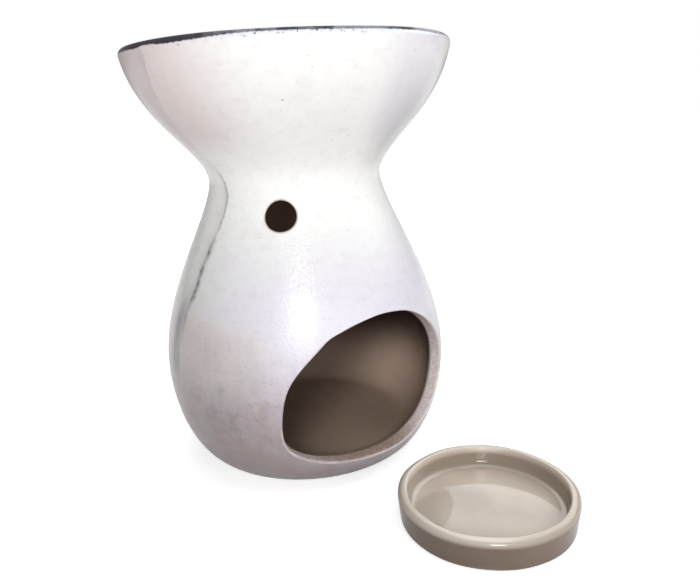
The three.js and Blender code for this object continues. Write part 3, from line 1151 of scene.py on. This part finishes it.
def link(thing):
    bpy.context.scene.collection.objects.link(thing)


def add(piece, material, body, node):
    link(piece)
    piece.data.materials.append(material)
    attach(piece, body)
    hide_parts(node)


TABLE_SIZE = 6000
TABLE_COLOUR = (0.8, 0.8, 0.8, 1)
TABLE_NEAR = (0.2, 0.15, 0.13, 1)
TABLE_FAR = (0.88, 0.87, 0.88, 1)
REFLECTED_SHARE = 0.32


def add_table():
    """A plain table that shows white and keeps the shadow under the burner."""
    mesh = bpy.data.meshes.new("table_top")
    half = TABLE_SIZE / 2 * MM
    corners = [(-half, -half, 0), (half, -half, 0), (half, half, 0), (-half, half, 0)]
    mesh.from_pydata(corners, [], [(0, 1, 2, 3)])
    table = bpy.data.objects.new("table_top", mesh)
    paint = Paint(bpy.data.materials.new("table_white"))
    seen = paint.seen("Is Camera Ray", "Is Glossy Ray", "Is Transmission Ray")
    distance = paint.hypot(*paint.axes()[:2])
    lift = paint.step(distance, 80, 350, 0.62, 1)
    # What the table bounces onto the burner is darker near it: painted shade round the burner's
    # foot
    bounce = paint.mix(paint.step(distance, 50, 300), TABLE_NEAR, TABLE_FAR)
    table.data.materials.append(paint.finish({
        "Base Color": paint.mix(seen, bounce, TABLE_COLOUR),
        "Roughness": 0.9,
        "Specular IOR Level": 0.1,
        "Emission Color": PURE_WHITE,
        "Emission Strength": paint.times(paint.backdrop(), lift),
    }))
    link(table)


def add_world(strength):
    """White behind the object, paler than a lamp in its gloss, and a soft even fill elsewhere."""
    paint = Paint(bpy.data.worlds.new("studio"), "Background")
    level = paint.most(paint.backdrop(), strength)
    bpy.context.scene.world = paint.finish({"Color": PURE_WHITE, "Strength": level})


# The camera stands to the left of the window's middle and looks a little down.
CAMERA_AZIMUTH = -31
CAMERA_DISTANCE = 235.6
CAMERA_HEIGHT = 120.7
CAMERA_YAW = 4.13
CAMERA_PITCH = 15.93
CAMERA_ROLL = -2.71
FOCAL_PIXELS = 672.6
PHOTO_WIDTH = 700
SENSOR_WIDTH = 36


def add_camera():
    roll = math.radians(CAMERA_ROLL)
    backwards = Vector(heading(-CAMERA_YAW, CAMERA_PITCH))
    right = Vector(heading(90 - CAMERA_YAW, 0))
    up = backwards.cross(right)
    turned_right = math.cos(roll) * right + math.sin(roll) * up
    turned_up = math.cos(roll) * up - math.sin(roll) * right
    place = Matrix.Translation((0, -CAMERA_DISTANCE * MM, CAMERA_HEIGHT * MM))
    facing = Matrix((turned_right, turned_up, backwards)).transposed().to_4x4()
    data = bpy.data.cameras.new("photo_camera")
    data.sensor_fit = "HORIZONTAL"
    data.sensor_width = SENSOR_WIDTH
    data.lens = FOCAL_PIXELS / PHOTO_WIDTH * SENSOR_WIDTH
    data.clip_start = 0.01
    camera = bpy.data.objects.new("photo_camera", data)
    camera.matrix_world = Matrix.Rotation(math.radians(CAMERA_AZIMUTH), 4, "Z") @ place @ facing
    link(camera)
    bpy.context.scene.camera = camera


def add_light(name, azimuth, elevation, distance, size, power, in_gloss=True, in_diffuse=True):
    """A soft rectangle that faces the burner. Azimuth runs from the camera's side rightwards."""
    data = bpy.data.lights.new(name, "AREA")
    data.shape = "RECTANGLE"
    data.size, data.size_y = size
    data.energy = power
    light = bpy.data.objects.new(name, data)
    light.visible_glossy = in_gloss
    light.visible_diffuse = in_diffuse
    aim(light, azimuth, elevation, distance, (0, 0, HEIGHT * MM / 2))


def add_snoot(name, azimuth, elevation, distance, target, reach, size, power):
    """A soft light that falls only on what lies within reach of its target."""
    data = bpy.data.lights.new(name, "SPOT")
    data.energy = power
    data.shadow_soft_size = size / 2
    data.spot_size = 2 * math.atan(reach / distance)
    data.spot_blend = 1
    light = bpy.data.objects.new(name, data)
    light.visible_glossy = False
    aim(light, azimuth, elevation, distance, target)


def aim(light, azimuth, elevation, distance, target):
    """Places a light so that it faces the target. Azimuth 0 is the camera's side."""
    towards = Vector(heading(azimuth + CAMERA_AZIMUTH, elevation))
    light.location = towards * distance + Vector(target)
    light.rotation_euler = towards.to_track_quat("Z", "Y").to_euler()
    link(light)


add_camera()
add(build_casting(), glaze_on_casting(), "burner", "burner_body")
add(build_disc(), taupe_glaze("bowl_glaze"), "burner", "bowl_floor")
add(build_dish(), taupe_glaze("dish_glaze", dish_tint), "dish", "tealight_dish")

add_table()
add_world(0.02)

# Azimuth and elevation in degrees, distance and size in metres, and power in watts. The
# window shows only in the gloss, and the fills only outside it.
add_light("front_window", -2, 22.5, 1.1, (0.28, 0.28), 3.1, in_diffuse=False)
add_light("front_fill", -12, 22, 1.2, (0.4, 0.3), 6.9, in_gloss=False)
add_light("right_fill", 35, 5, 1.2, (0.6, 0.5), 6, in_gloss=False)
add_light("left_fill", -60, 5, 1.2, (0.4, 0.4), 1.9, in_gloss=False)
add_light("right_panel", 90, 40, 1.2, (0.9, 0.9), 3)
add_light("back_panel", 150, 40, 1.2, (2.2, 0.8), 10)
add_light("top_panel", 0, 89, 1.2, (0.9, 0.9), 5)

# Three side by side into the chamber, so that the edges of their light run into each other
for azimuth in (-26, -20, -14):
    add_snoot(f"chamber_light_{-azimuth}", azimuth, 16, 0.8, (0.04, 0, 0.019), 0.02, 0.045, 8)

bpy.context.scene.view_settings.view_transform = "Standard"
